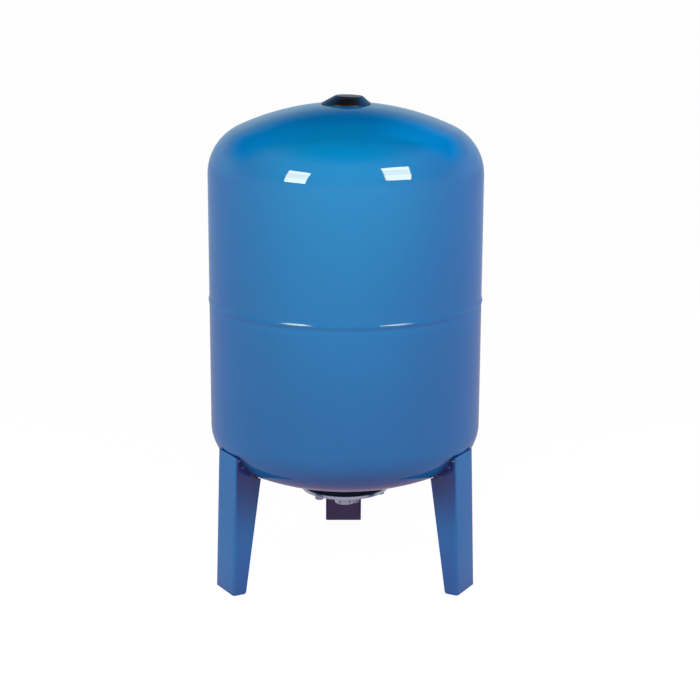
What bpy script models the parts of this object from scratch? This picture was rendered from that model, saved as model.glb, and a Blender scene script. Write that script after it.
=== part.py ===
"""Vertical membrane pressure tank for a well water system, about 100 litres.

Two drawn steel half shells are welded at mid height and stand on three folded legs. A rubber
membrane hangs inside, clamped between the neck ring and a bolted flange with the pipe nipple.
The air valve stands in a drawn pocket at the top, under a black snap-in cover.
Units are metres, +Z is up, the floor is z = 0, the tank's axis is x = y = 0 and its front is -Y.
"""

import math

import bmesh
import bpy
from mathutils import Matrix, Vector

# Clearance between pieces that touch on the real tank
FIT_GAP = 0.0003

# Straight sides that stand for a full circle on the body and on the smaller turned pieces
ROUND_SEGMENTS = 48
NECK_SEGMENTS = 36
NIPPLE_SEGMENTS = 24
SMALL_SEGMENTS = 16
BOLT_SEGMENTS = 12

# Body: two torispherical half shells with a lap joint
TANK_RADIUS = 0.225
SHELL_WALL = 0.0015
DISH_HEIGHT = 0.1558
DISH_CROWN_RADIUS = 0.435
DISH_KNUCKLE_RADIUS = 0.070
BODY_LENGTH = 0.6376
LOWER_SHELL_LENGTH = 0.3182
DOME_CROWN_RADIUS = 0.420
DOME_KNUCKLE_RADIUS = 0.083
LAP_LENGTH = 0.012
JOGGLE_LENGTH = 0.004
BEAD_WIDTH = 0.014
BEAD_PROUD = 0.0024
BEAD_STEPS = 4

# Valve pocket drawn into the dome
POCKET_RADIUS = 0.028
POCKET_DEPTH = 0.022
POCKET_LIP_RADIUS = 0.003
POCKET_CORNER_RADIUS = 0.002

# Legs: tapered channels folded from sheet, web outwards
LEG_COUNT = 3
LEG_SHEET = 0.0025
LEG_WIDTH = 0.064
LEG_FOOT_STANDOFF = 0.006
LEG_TOP_INSET = 0.002
LEG_TOP_DROP = 0.0078
LEG_FOOT_DEPTH = 0.023
LEG_TOP_DEPTH = 0.051
LEG_INNER_BEND = 0.002
LEG_TOE_RADIUS = 0.004
LEG_DISH_GAP = 0.002
LEG_FIRST_ANGLE = 60.0
TACK_RADIUS = 0.0036
TACK_INSETS = (0.003, 0.011, 0.030)
TACK_SIDES = 6

# Neck: welded ring, membrane and bolted flange
NECK_OPENING_RADIUS = 0.048
NECK_RING_WALL = 0.002
NECK_RING_WIDTH = 0.020
NECK_RING_RISE = 0.004
NECK_RING_DROP = 0.0058
MEMBRANE_WALL = 0.0022
MEMBRANE_LIP = 0.0044
MEMBRANE_BEAD = 0.0024
MEMBRANE_BEAD_RISE = 0.0042
MEMBRANE_SIDE_ROOM = 0.0685
MEMBRANE_TOP_ROOM = 0.149
BAG_STEPS = 4
FLANGE_PLATE = 0.003
FLANGE_RIM_RISE = 0.0065
FLANGE_RIM_CHAMFER = 0.0007
NIPPLE_RADIUS = 0.0166
NIPPLE_WALL = 0.0031
NIPPLE_LENGTH = 0.0275
NIPPLE_SHOULDER_WIDTH = 0.0044
NIPPLE_SHOULDER = 0.003
NIPPLE_CHAMFER = 0.001

# Six M8 bolts with washers, heads below
BOLT_COUNT = 6
BOLT_FIRST_ANGLE = 15.0
BOLT_EDGE_DISTANCE = 0.007
BOLT_RADIUS = 0.004
BOLT_HOLE_CLEARANCE = 0.0005
BOLT_HEAD_FLATS = 0.013
BOLT_HEAD_HEIGHT = 0.0053
BOLT_HEAD_CHAMFER = 0.0006
BOLT_TIP_CHAMFER = 0.0008
BOLT_TIP_CLEARANCE = 0.0015
WASHER_WIDTH = 0.0037
WASHER_THICKNESS = 0.0015

# Air valve in its pocket
VALVE_STEM_RADIUS = 0.0052
VALVE_NECK_RADIUS = 0.00385
VALVE_BORE_RADIUS = 0.0022
VALVE_HEAD_WIDTH = 0.0038
VALVE_HEAD_THICKNESS = 0.0025
VALVE_SHOULDER_RISE = 0.0085
VALVE_SHOULDER_CHAMFER = 0.001
VALVE_RISE = 0.0185
VALVE_CORE_LENGTH = 0.015
VALVE_CORE_SINK = 0.002
VALVE_CORE_TAPER = 0.003
VALVE_PIN_RADIUS = 0.0009
VALVE_GASKET_THICKNESS = 0.002
VALVE_WASHER_WIDTH = 0.0028
VALVE_WASHER_THICKNESS = 0.0012
VALVE_NUT_WALL = 0.0018
VALVE_NUT_HEIGHT = 0.005
VALVE_NUT_CHAMFER = 0.0005
DUST_CAP_WALL = 0.0013
DUST_CAP_TOP = 0.0016
DUST_CAP_SKIRT = 0.009
DUST_CAP_HEADROOM = 0.0015

# Black cover over the pocket
COVER_RADIUS = 0.040
COVER_HEIGHT = 0.0128
COVER_RIM = 0.0014
COVER_FLANK_WIDTH = 0.0165
COVER_SHOULDER_RADIUS = 0.003
COVER_WALL = 0.002
COVER_TOP_SHIFT = 0.003
COVER_PLUG_WALL = 0.0018
COVER_PLUG_DEPTH = 0.009

# Colours: linear red, green, blue, then roughness and metallic value
ENAMEL_BLUE = ((0.040, 0.245, 0.560), 0.22, 0.0)
ZINC = ((0.560, 0.600, 0.620), 0.38, 1.0)
BRASS = ((0.700, 0.500, 0.200), 0.30, 1.0)
BLACK_RUBBER = ((0.012, 0.012, 0.013), 0.75, 0.0)
BLACK_PLASTIC = ((0.012, 0.012, 0.013), 0.40, 0.0)


def clear_scene():
    for item in list(bpy.data.objects):
        bpy.data.objects.remove(item, do_unlink=True)


def make_material(name, finish):
    colour, roughness, metallic = finish
    material = bpy.data.materials.new(name)
    material.use_nodes = True
    shader = material.node_tree.nodes["Principled BSDF"]
    shader.inputs["Base Color"].default_value = (*colour, 1.0)
    shader.inputs["Roughness"].default_value = roughness
    shader.inputs["Metallic"].default_value = metallic
    material.diffuse_color = (*colour, 1.0)
    return material


def arc(centre, radius, start, end, steps):
    """Points (r, z) of a circular arc, with its angles in degrees."""
    points = []
    for step in range(steps + 1):
        angle = math.radians(start + (end - start) * step / steps)
        points.append((centre[0] + radius * math.cos(angle), centre[1] + radius * math.sin(angle)))
    return points


def hexagon_scale(angle):
    """Radius of a regular hexagon at an angle, for half its width across flats of one."""
    from_corner = (angle + math.pi / 6) % (math.pi / 3) - math.pi / 6
    return 1.0 / math.cos(math.pi / 6 - abs(from_corner))


def revolve(profile, segments=ROUND_SEGMENTS, hexagonal=(), closed=True):
    """A solid turned about Z from (r, z) points. A closed profile makes a ring, an open one starts
    and ends on the axis. The rows named in hexagonal are six-sided instead of round."""
    mesh = bmesh.new()
    rows = []
    for index, (radius, height) in enumerate(profile):
        if radius == 0.0:
            rows.append([mesh.verts.new((0.0, 0.0, height))])
            continue
        row = []
        for segment in range(segments):
            angle = 2 * math.pi * segment / segments
            reach = radius * hexagon_scale(angle) if index in hexagonal else radius
            row.append(mesh.verts.new((reach * math.cos(angle), reach * math.sin(angle), height)))
        rows.append(row)
    pairs = list(zip(rows, rows[1:]))
    if closed:
        pairs.append((rows[-1], rows[0]))
    for lower, upper in pairs:
        for segment in range(segments):
            following = (segment + 1) % segments
            corners = [lower[segment % len(lower)], lower[following % len(lower)],
                       upper[following % len(upper)], upper[segment % len(upper)]]
            mesh.faces.new(list(dict.fromkeys(corners)))
    bmesh.ops.recalc_face_normals(mesh, faces=mesh.faces)
    return mesh


def add_object(name, mesh, material, smooth_angle=35.0, angle=0.0, place=(0.0, 0.0, 0.0)):
    data = bpy.data.meshes.new(name)
    mesh.to_mesh(data)
    mesh.free()
    data.materials.append(material)
    data.shade_smooth()
    data.set_sharp_from_angle(angle=math.radians(smooth_angle))
    item = bpy.data.objects.new(name, data)
    item.location = place
    item.rotation_euler = (0.0, 0.0, angle)
    bpy.context.scene.collection.objects.link(item)
    return item


def add_guide(name, mesh, angle=0.0):
    data = bpy.data.meshes.new(name)
    mesh.to_mesh(data)
    mesh.free()
    guide = bpy.data.objects.new(name, data)
    guide.rotation_euler = (0.0, 0.0, angle)
    guide.hide_render = True
    guide.display_type = "WIRE"
    bpy.context.scene.collection.objects.link(guide)
    return guide


def add_boolean(item, guide, operation):
    modifier = item.modifiers.new(operation.title() + " " + guide.name, "BOOLEAN")
    modifier.operation = operation
    modifier.object = guide


class Head:
    """A torispherical end: a crown about the axis and a knuckle that meets the cylinder.

    side is 1 for the dome, whose crown is on top, and -1 for the dish.
    """

    def __init__(self, apex, crown, knuckle, side):
        self.side = side
        self.crown = crown
        self.knuckle = knuckle
        self.knuckle_r = TANK_RADIUS - knuckle
        self.crown_z = apex - side * crown
        self.join_angle = math.degrees(math.acos(self.knuckle_r / (crown - knuckle)))
        reach = math.sin(math.radians(self.join_angle)) * (crown - knuckle)
        self.tangent_z = self.crown_z + side * reach

    def z_at(self, radius, offset=0.0):
        """Height of the surface at a radius, offset outwards along its normal."""
        crown = self.crown + offset
        if radius <= crown * math.cos(math.radians(self.join_angle)):
            return self.crown_z + self.side * math.sqrt(crown**2 - radius**2)
        knuckle = self.knuckle + offset
        return self.tangent_z + self.side * math.sqrt(knuckle**2 - (radius - self.knuckle_r)**2)

    def profile(self, start_radius, offset=0.0, crown_steps=3, knuckle_steps=5):
        """Points from start_radius on the crown out to the top of the cylinder."""
        crown = self.crown + offset
        start = math.degrees(math.acos(start_radius / crown))
        points = arc((0.0, 0.0), crown, start, self.join_angle, crown_steps)
        points = [(r, self.crown_z + self.side * z) for r, z in points]
        bend = arc((self.knuckle_r, 0.0), self.knuckle + offset, self.join_angle, 0.0, knuckle_steps)
        points += [(r, self.tangent_z + self.side * z) for r, z in bend[1:]]
        return points


SEAM_HEIGHT = DISH_HEIGHT + LOWER_SHELL_LENGTH
DISH = Head(DISH_HEIGHT, DISH_CROWN_RADIUS, DISH_KNUCKLE_RADIUS, -1)
DOME_TOP = DISH_HEIGHT + BODY_LENGTH
DOME = Head(DOME_TOP, DOME_CROWN_RADIUS, DOME_KNUCKLE_RADIUS, 1)
LAP_RADIUS = TANK_RADIUS - SHELL_WALL - FIT_GAP
JOGGLE_HEIGHT = SEAM_HEIGHT - BEAD_WIDTH / 2 + FIT_GAP
POCKET_FLOOR = DOME_TOP - POCKET_DEPTH


def make_upper_shell(enamel):
    """The dome with its valve pocket, and the skirt that slips over the lower shell."""
    lip_r = POCKET_RADIUS + POCKET_LIP_RADIUS
    lip_z = DOME.z_at(lip_r) - POCKET_LIP_RADIUS
    corner_r = POCKET_RADIUS - POCKET_CORNER_RADIUS
    corner_z = POCKET_FLOOR + POCKET_CORNER_RADIUS
    hole = VALVE_STEM_RADIUS + FIT_GAP
    skirt_end = JOGGLE_HEIGHT + JOGGLE_LENGTH + FIT_GAP
    outside = [(hole, POCKET_FLOOR)]
    outside += arc((corner_r, corner_z), POCKET_CORNER_RADIUS, -90, 0, 1)
    outside += arc((lip_r, lip_z), POCKET_LIP_RADIUS, 180, 90, 2)
    outside += DOME.profile(lip_r)[1:]
    outside.append((TANK_RADIUS, skirt_end))
    inside = [(TANK_RADIUS - SHELL_WALL, skirt_end)]
    inside += reversed(DOME.profile(lip_r, -SHELL_WALL)[1:])
    inside += arc((lip_r, lip_z), POCKET_LIP_RADIUS - SHELL_WALL, 90, 180, 2)
    inside += arc((corner_r, corner_z), POCKET_CORNER_RADIUS + SHELL_WALL, 0, -90, 1)
    inside.append((hole, POCKET_FLOOR - SHELL_WALL))
    add_object("upper_shell", revolve(outside + inside), enamel)


def make_lower_shell(enamel):
    """The dish with its neck opening, and the joggled lip that fits inside the upper shell."""
    lip_start = JOGGLE_HEIGHT + JOGGLE_LENGTH
    lip_end = lip_start + LAP_LENGTH
    outside = DISH.profile(NECK_OPENING_RADIUS)
    outside += [(TANK_RADIUS, JOGGLE_HEIGHT), (LAP_RADIUS, lip_start), (LAP_RADIUS, lip_end)]
    inner_lap = LAP_RADIUS - SHELL_WALL
    inside = [(inner_lap, lip_end), (inner_lap, lip_start)]
    inside.append((TANK_RADIUS - SHELL_WALL, JOGGLE_HEIGHT))
    inside += reversed(DISH.profile(NECK_OPENING_RADIUS, -SHELL_WALL))
    add_object("lower_shell", revolve(outside + inside), enamel)


def make_seam_weld(enamel):
    """The rounded weld bead that runs round the lap joint."""
    inner = TANK_RADIUS + FIT_GAP
    crest = TANK_RADIUS + BEAD_PROUD
    half = BEAD_WIDTH / 2
    profile = [(inner, SEAM_HEIGHT - half)]
    for step in range(1, BEAD_STEPS):
        angle = math.pi * step / BEAD_STEPS
        bulge = inner + (crest - inner) * math.sin(angle)
        profile.append((bulge, SEAM_HEIGHT - half * math.cos(angle)))
    profile.append((inner, SEAM_HEIGHT + half))
    add_object("seam_weld", revolve(profile), enamel, smooth_angle=60.0)


# The clamped stack hangs from the dish: ring, membrane lip, flange
RING_BOTTOM = DISH_HEIGHT - NECK_RING_DROP
LIP_TOP = RING_BOTTOM - FIT_GAP
LIP_BOTTOM = LIP_TOP - MEMBRANE_LIP
PLATE_TOP = LIP_BOTTOM - FIT_GAP
FLANGE_HEIGHT = PLATE_TOP - FLANGE_PLATE
RING_BORE = NECK_OPENING_RADIUS - FIT_GAP - NECK_RING_WALL
NECK_RING_RADIUS = NECK_OPENING_RADIUS + NECK_RING_WIDTH
BEAD_INNER_RADIUS = NECK_RING_RADIUS + FIT_GAP
BEAD_OUTER_RADIUS = BEAD_INNER_RADIUS + MEMBRANE_BEAD
FLANGE_RADIUS = BEAD_OUTER_RADIUS + FIT_GAP + FLANGE_PLATE
BOLT_CIRCLE_RADIUS = NECK_RING_RADIUS - BOLT_EDGE_DISTANCE


def bolt_places():
    """The bolts' angles about the tank's axis, measured from the front towards +X."""
    for index in range(BOLT_COUNT):
        angle = math.radians(BOLT_FIRST_ANGLE + 360.0 * index / BOLT_COUNT)
        place = Vector((math.sin(angle), -math.cos(angle), 0.0)) * BOLT_CIRCLE_RADIUS
        yield index + 1, angle, place


def make_hole_guide(name, radius, low, high):
    """Round cutters on the bolt circle."""
    mesh = bmesh.new()
    for _, _, place in bolt_places():
        centre = Matrix.Translation(place + Vector((0.0, 0.0, (low + high) / 2)))
        bmesh.ops.create_cone(mesh, cap_ends=True, segments=BOLT_SEGMENTS, radius1=radius,
                              radius2=radius, depth=high - low, matrix=centre)
    return add_guide(name, mesh)


def make_neck_ring(enamel):
    """The tapped ring welded under the dish, with a short collar through the neck opening."""
    collar = NECK_OPENING_RADIUS - FIT_GAP
    seat_start = NECK_OPENING_RADIUS + FIT_GAP
    top = DISH.z_at(NECK_OPENING_RADIUS) + NECK_RING_RISE
    profile = [(RING_BORE, RING_BOTTOM), (NECK_RING_RADIUS, RING_BOTTOM)]
    for step in range(4):
        radius = NECK_RING_RADIUS + (seat_start - NECK_RING_RADIUS) * step / 3
        profile.append((radius, DISH.z_at(radius, FIT_GAP)))
    profile += [(collar, DISH.z_at(collar, FIT_GAP)), (collar, top), (RING_BORE, top)]
    ring = add_object("neck_ring", revolve(profile, NECK_SEGMENTS), enamel)
    tapped_holes = make_hole_guide("tapped_holes", BOLT_RADIUS + FIT_GAP, FLANGE_HEIGHT, SEAM_HEIGHT)
    add_boolean(ring, tapped_holes, "DIFFERENCE")


def make_membrane(rubber, bolt_holes):
    """The rubber bag that holds the water, with its lip clamped under the neck ring."""
    neck = RING_BORE - FIT_GAP
    bead_round = MEMBRANE_BEAD / 2
    bead_centre = (BEAD_INNER_RADIUS + bead_round, LIP_TOP + MEMBRANE_BEAD_RISE - bead_round)
    neck_top = DISH.z_at(NECK_OPENING_RADIUS) + NECK_RING_RISE
    bag_radius = TANK_RADIUS - SHELL_WALL - MEMBRANE_SIDE_ROOM
    shoulder = POCKET_FLOOR - MEMBRANE_TOP_ROOM - bag_radius
    waist = neck_top + bag_radius - neck

    def bag(offset):
        """The bag's wall from its crown down to the neck, offset inwards."""
        crown = arc((0.0, shoulder), bag_radius - offset, 90, 0, BAG_STEPS)
        crown[0] = (0.0, crown[0][1])
        flare = bag_radius - neck
        skirt = []
        for step in range(1, BAG_STEPS + 1):
            radius = neck + flare * (1 + math.cos(math.pi * step / BAG_STEPS)) / 2 - offset
            skirt.append((radius, waist + (neck_top - waist) * step / BAG_STEPS))
        return crown + [(bag_radius - offset, waist)] + skirt

    outside = bag(0.0) + [(neck, LIP_TOP), (BEAD_INNER_RADIUS, LIP_TOP)]
    outside += arc(bead_centre, bead_round, 180, 0, 2)
    outside += [(BEAD_OUTER_RADIUS, LIP_BOTTOM), (neck - MEMBRANE_WALL, LIP_BOTTOM)]
    inside = list(reversed(bag(MEMBRANE_WALL)))
    bag_mesh = revolve(outside + inside, NECK_SEGMENTS, closed=False)
    membrane = add_object("membrane", bag_mesh, rubber)
    add_boolean(membrane, bolt_holes, "DIFFERENCE")


def make_water_flange(zinc, bolt_holes):
    """The pressed flange: a plate with its rim turned up round the membrane's lip."""
    hole = NIPPLE_RADIUS + FIT_GAP
    rim_inner = FLANGE_RADIUS - FLANGE_PLATE
    top = FLANGE_HEIGHT + FLANGE_RIM_RISE
    edge = FLANGE_RIM_CHAMFER
    profile = [(hole, FLANGE_HEIGHT)] + arc((rim_inner, PLATE_TOP), FLANGE_PLATE, -90, 0, 2)
    profile += [(FLANGE_RADIUS, top - edge), (FLANGE_RADIUS - edge, top)]
    profile += [(rim_inner, top), (rim_inner, PLATE_TOP), (hole, PLATE_TOP)]
    flange = add_object("water_flange", revolve(profile, NECK_SEGMENTS), zinc)
    add_boolean(flange, bolt_holes, "DIFFERENCE")


def make_pipe_nipple(zinc):
    """The 1 inch male nipple, seated on the flange by its shoulder."""
    end = FLANGE_HEIGHT - NIPPLE_LENGTH
    seat = PLATE_TOP + FIT_GAP
    top = seat + NIPPLE_SHOULDER
    bore = NIPPLE_RADIUS - NIPPLE_WALL
    shoulder = NIPPLE_RADIUS + NIPPLE_SHOULDER_WIDTH
    profile = [(bore, end), (NIPPLE_RADIUS - NIPPLE_CHAMFER, end),
               (NIPPLE_RADIUS, end + NIPPLE_CHAMFER), (NIPPLE_RADIUS, seat),
               (shoulder, seat), (shoulder, top), (bore, top)]
    add_object("pipe_nipple", revolve(profile, NIPPLE_SEGMENTS), zinc)


def make_bolts(zinc):
    """Six bolts from below, each with a washer, screwed into the neck ring."""
    washer_top = FLANGE_HEIGHT - FIT_GAP
    head_top = washer_top - WASHER_THICKNESS - FIT_GAP
    head_bottom = head_top - BOLT_HEAD_HEIGHT
    dish_z = DISH.z_at(BOLT_CIRCLE_RADIUS - BOLT_RADIUS)
    tip = dish_z - BOLT_TIP_CLEARANCE
    flats = BOLT_HEAD_FLATS / 2
    profile = [(0.0, head_bottom), (flats - BOLT_HEAD_CHAMFER, head_bottom),
               (flats, head_bottom + BOLT_HEAD_CHAMFER), (flats, head_top), (BOLT_RADIUS, head_top),
               (BOLT_RADIUS, tip - BOLT_TIP_CHAMFER), (BOLT_RADIUS - BOLT_TIP_CHAMFER, tip),
               (0.0, tip)]
    eye = BOLT_RADIUS + FIT_GAP
    washer = [(eye, washer_top - WASHER_THICKNESS),
              (eye + WASHER_WIDTH, washer_top - WASHER_THICKNESS),
              (eye + WASHER_WIDTH, washer_top), (eye, washer_top)]
    for number, angle, place in bolt_places():
        turned = revolve(profile, BOLT_SEGMENTS, hexagonal=(2, 3), closed=False)
        add_object(f"flange_bolt_{number}", turned, zinc, angle=angle, place=place)
        turned = revolve(washer, BOLT_SEGMENTS)
        add_object(f"flange_washer_{number}", turned, zinc, angle=angle, place=place)


def dish_guide(name, offset):
    """The whole tank as one solid, grown by an offset, to trim what meets the dish."""
    profile = [(0.0, DISH.z_at(0.0, offset))] + DISH.profile(NECK_OPENING_RADIUS, offset)
    profile += [(TANK_RADIUS + offset, DOME_TOP), (0.0, DOME_TOP)]
    return add_guide(name, revolve(profile, closed=False))


LEG_FOOT_RADIUS = TANK_RADIUS + LEG_FOOT_STANDOFF
LEG_TOP_RADIUS = TANK_RADIUS - LEG_TOP_INSET
LEG_TOP = DISH.z_at(LEG_TOP_RADIUS) - LEG_TOP_DROP


def leg_section(height):
    """Outline of the leg's channel at a height, in the leg's own radial and sideways axes."""
    share = height / LEG_TOP
    web = LEG_FOOT_RADIUS + (LEG_TOP_RADIUS - LEG_FOOT_RADIUS) * share
    depth = LEG_FOOT_DEPTH + (LEG_TOP_DEPTH - LEG_FOOT_DEPTH) * share
    half = LEG_WIDTH / 2
    bend = LEG_INNER_BEND + LEG_SHEET
    outer = [(web - depth, half)] + arc((web - bend, half - bend), bend, 90, 0, 3)
    inner = [(web - depth, half - LEG_SHEET)]
    inner += arc((web - bend, half - bend), LEG_INNER_BEND, 90, 0, 3)
    outer += [(r, -side) for r, side in reversed(outer)]
    inner += [(r, -side) for r, side in reversed(inner)]
    return outer + list(reversed(inner))


def make_leg(name, azimuth, enamel, trim, seat):
    """A folded channel, wider at the top, with its upper edges cut to the dish and tack welded."""
    mesh = bmesh.new()
    rows = []
    for height in (0.0, LEG_TOP):
        rows.append([mesh.verts.new((r, side, height)) for r, side in leg_section(height)])
    foot, top = rows
    count = len(foot)
    for index in range(count):
        following = (index + 1) % count
        mesh.faces.new((foot[index], foot[following], top[following], top[index]))
    for row in rows:
        for index in range(count // 2 - 1):
            mesh.faces.new((row[index], row[index + 1], row[count - 2 - index], row[count - 1 - index]))
    bmesh.ops.recalc_face_normals(mesh, faces=mesh.faces)
    toe_r = LEG_FOOT_RADIUS - LEG_FOOT_DEPTH
    toes = [edge for edge in mesh.edges if all(v.co.z == 0.0 and abs(v.co.x - toe_r) < FIT_GAP
                                               for v in edge.verts)]
    bmesh.ops.bevel(mesh, geom=toes, offset=LEG_TOE_RADIUS, segments=3, profile=0.5,
                    affect="EDGES", clamp_overlap=True)
    turn = math.radians(azimuth - 90.0)
    leg = add_object(name, mesh, enamel, angle=turn)
    add_boolean(leg, trim, "DIFFERENCE")

    tacks = bmesh.new()
    offset = (LEG_WIDTH - LEG_SHEET) / 2
    for inset in TACK_INSETS:
        distance = TANK_RADIUS - inset
        radial = math.sqrt(distance**2 - offset**2)
        height = min(DISH.z_at(distance) - TACK_RADIUS / 2, LEG_TOP)
        for side in (-1, 1):
            place = Matrix.Translation((radial, side * offset, height))
            bmesh.ops.create_uvsphere(tacks, u_segments=TACK_SIDES, v_segments=TACK_SIDES // 2,
                                      radius=TACK_RADIUS, matrix=place)
    add_boolean(leg, add_guide(name + "_tacks", tacks, turn), "UNION")
    add_boolean(leg, seat, "DIFFERENCE")


def make_air_valve(brass, zinc, rubber, plastic):
    """The tyre-type air valve, clamped in the pocket's floor by a nut."""
    hole = VALVE_STEM_RADIUS + FIT_GAP
    gasket_top = POCKET_FLOOR - SHELL_WALL - FIT_GAP
    head_top = gasket_top - VALVE_GASKET_THICKNESS - FIT_GAP
    shoulder = POCKET_FLOOR + VALVE_SHOULDER_RISE
    tip = POCKET_FLOOR + VALVE_RISE
    head = VALVE_STEM_RADIUS + VALVE_HEAD_WIDTH
    stem = [(VALVE_BORE_RADIUS, head_top - VALVE_HEAD_THICKNESS),
            (head, head_top - VALVE_HEAD_THICKNESS), (head, head_top),
            (VALVE_STEM_RADIUS, head_top), (VALVE_STEM_RADIUS, shoulder - VALVE_SHOULDER_CHAMFER),
            (VALVE_NECK_RADIUS, shoulder), (VALVE_NECK_RADIUS, tip), (VALVE_BORE_RADIUS, tip)]
    add_object("valve_stem", revolve(stem, SMALL_SEGMENTS), brass)

    core = VALVE_BORE_RADIUS - FIT_GAP
    core_end = tip - VALVE_CORE_LENGTH
    core_top = tip - VALVE_CORE_SINK
    pin = VALVE_PIN_RADIUS
    pin_top = tip - FIT_GAP
    core_profile = [(0.0, core_end), (pin, core_end), (core, core_end + VALVE_CORE_TAPER),
                    (core, core_top), (pin, core_top), (pin, pin_top), (0.0, pin_top)]
    add_object("valve_core", revolve(core_profile, BOLT_SEGMENTS, closed=False), brass)

    gasket = [(hole, gasket_top - VALVE_GASKET_THICKNESS),
              (head, gasket_top - VALVE_GASKET_THICKNESS), (head, gasket_top), (hole, gasket_top)]
    add_object("valve_gasket", revolve(gasket, SMALL_SEGMENTS), rubber)

    washer_bottom = POCKET_FLOOR + FIT_GAP
    washer_top = washer_bottom + VALVE_WASHER_THICKNESS
    washer_edge = VALVE_STEM_RADIUS + VALVE_WASHER_WIDTH
    washer = [(hole, washer_bottom), (washer_edge, washer_bottom), (washer_edge, washer_top),
              (hole, washer_top)]
    add_object("valve_washer", revolve(washer, SMALL_SEGMENTS), zinc)

    nut_bottom = washer_top + FIT_GAP
    nut_top = nut_bottom + VALVE_NUT_HEIGHT
    flats = VALVE_STEM_RADIUS + VALVE_NUT_WALL
    nut = [(hole, nut_bottom), (flats, nut_bottom), (flats, nut_top - VALVE_NUT_CHAMFER),
           (flats - VALVE_NUT_CHAMFER, nut_top), (hole, nut_top)]
    add_object("valve_nut", revolve(nut, BOLT_SEGMENTS, hexagonal=(1, 2)), brass)

    cap_inner = VALVE_NECK_RADIUS + FIT_GAP
    cap_outer = cap_inner + DUST_CAP_WALL
    ceiling = tip + DUST_CAP_HEADROOM
    cap_top = ceiling + DUST_CAP_TOP
    skirt = tip - DUST_CAP_SKIRT
    dust_cap = [(0.0, ceiling), (cap_inner, ceiling), (cap_inner, skirt), (cap_outer, skirt),
                (cap_outer, cap_top - DUST_CAP_WALL / 2), (cap_outer - DUST_CAP_WALL / 2, cap_top),
                (0.0, cap_top)]
    add_object("valve_dust_cap", revolve(dust_cap, SMALL_SEGMENTS, closed=False), plastic)


def make_valve_cover(plastic):
    """The low snap-in cover: a cone with a flat top, and a plug ring that grips the pocket.
    Its top lies a little to one side, as the photographed one does."""
    base = DOME.z_at(COVER_RADIUS) + FIT_GAP
    top = base + COVER_HEIGHT
    ceiling = top - COVER_WALL
    plug_outer = POCKET_RADIUS - FIT_GAP
    plug_inner = plug_outer - COVER_PLUG_WALL
    plug_end = DOME.z_at(POCKET_RADIUS) - COVER_PLUG_DEPTH
    rim_inner = COVER_RADIUS - COVER_WALL
    round_r = COVER_RADIUS - COVER_FLANK_WIDTH
    round_z = top - COVER_SHOULDER_RADIUS
    shoulder_r = round_r + COVER_SHOULDER_RADIUS * math.cos(math.radians(45))
    shoulder_z = round_z + COVER_SHOULDER_RADIUS * math.sin(math.radians(45))
    slope = (shoulder_z - base - COVER_RIM) / (COVER_RADIUS - shoulder_r)
    under_flank = base + (rim_inner - plug_outer) * slope
    rim_top = base + COVER_RIM
    profile = [(0.0, ceiling), (plug_inner, ceiling), (plug_inner, rim_top), (plug_inner, plug_end),
               (plug_outer, plug_end), (plug_outer, rim_top), (plug_outer, under_flank),
               (rim_inner, base), (COVER_RADIUS, base), (COVER_RADIUS, rim_top)]
    profile += arc((round_r, round_z), COVER_SHOULDER_RADIUS, 45, 90, 2) + [(0.0, top)]
    mesh = revolve(profile, NECK_SEGMENTS, closed=False)
    for vert in mesh.verts:
        vert.co.x += COVER_TOP_SHIFT * max(0.0, vert.co.z - rim_top) / (top - rim_top)
    add_object("valve_cover", mesh, plastic)


def main():
    clear_scene()
    enamel = make_material("blue_enamel", ENAMEL_BLUE)
    zinc = make_material("zinc_plated_steel", ZINC)
    brass = make_material("brass", BRASS)
    rubber = make_material("black_rubber", BLACK_RUBBER)
    plastic = make_material("black_plastic", BLACK_PLASTIC)

    make_upper_shell(enamel)
    make_lower_shell(enamel)
    make_seam_weld(enamel)
    make_neck_ring(enamel)
    bolt_holes = make_hole_guide("bolt_holes", BOLT_RADIUS + BOLT_HOLE_CLEARANCE, 0.0, RING_BOTTOM)
    make_membrane(rubber, bolt_holes)
    make_water_flange(zinc, bolt_holes)
    make_pipe_nipple(zinc)
    make_bolts(zinc)
    trim = dish_guide("leg_trim", LEG_DISH_GAP)
    seat = dish_guide("tack_seat", FIT_GAP)
    for index, name in enumerate(("leg_front_right", "leg_rear", "leg_front_left")):
        make_leg(name, LEG_FIRST_ANGLE + 360.0 * index / LEG_COUNT, enamel, trim, seat)
    make_air_valve(brass, zinc, rubber, plastic)
    make_valve_cover(plastic)


main()
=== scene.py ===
"""Looks of the well pressure tank: its enamel, fine forms and small fittings, and its studio.

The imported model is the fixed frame. Each section makes one piece, or one group of like pieces,
as the tank is put together: shells, seam weld, neck, flange, legs, air valve, cover. The floor,
the lamps and the camera come last. Units are metres.
"""

from math import acos, cos, degrees, hypot, pi, radians, sin, sqrt, tan

import bmesh
import bpy
from mathutils import Matrix, Vector


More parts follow.
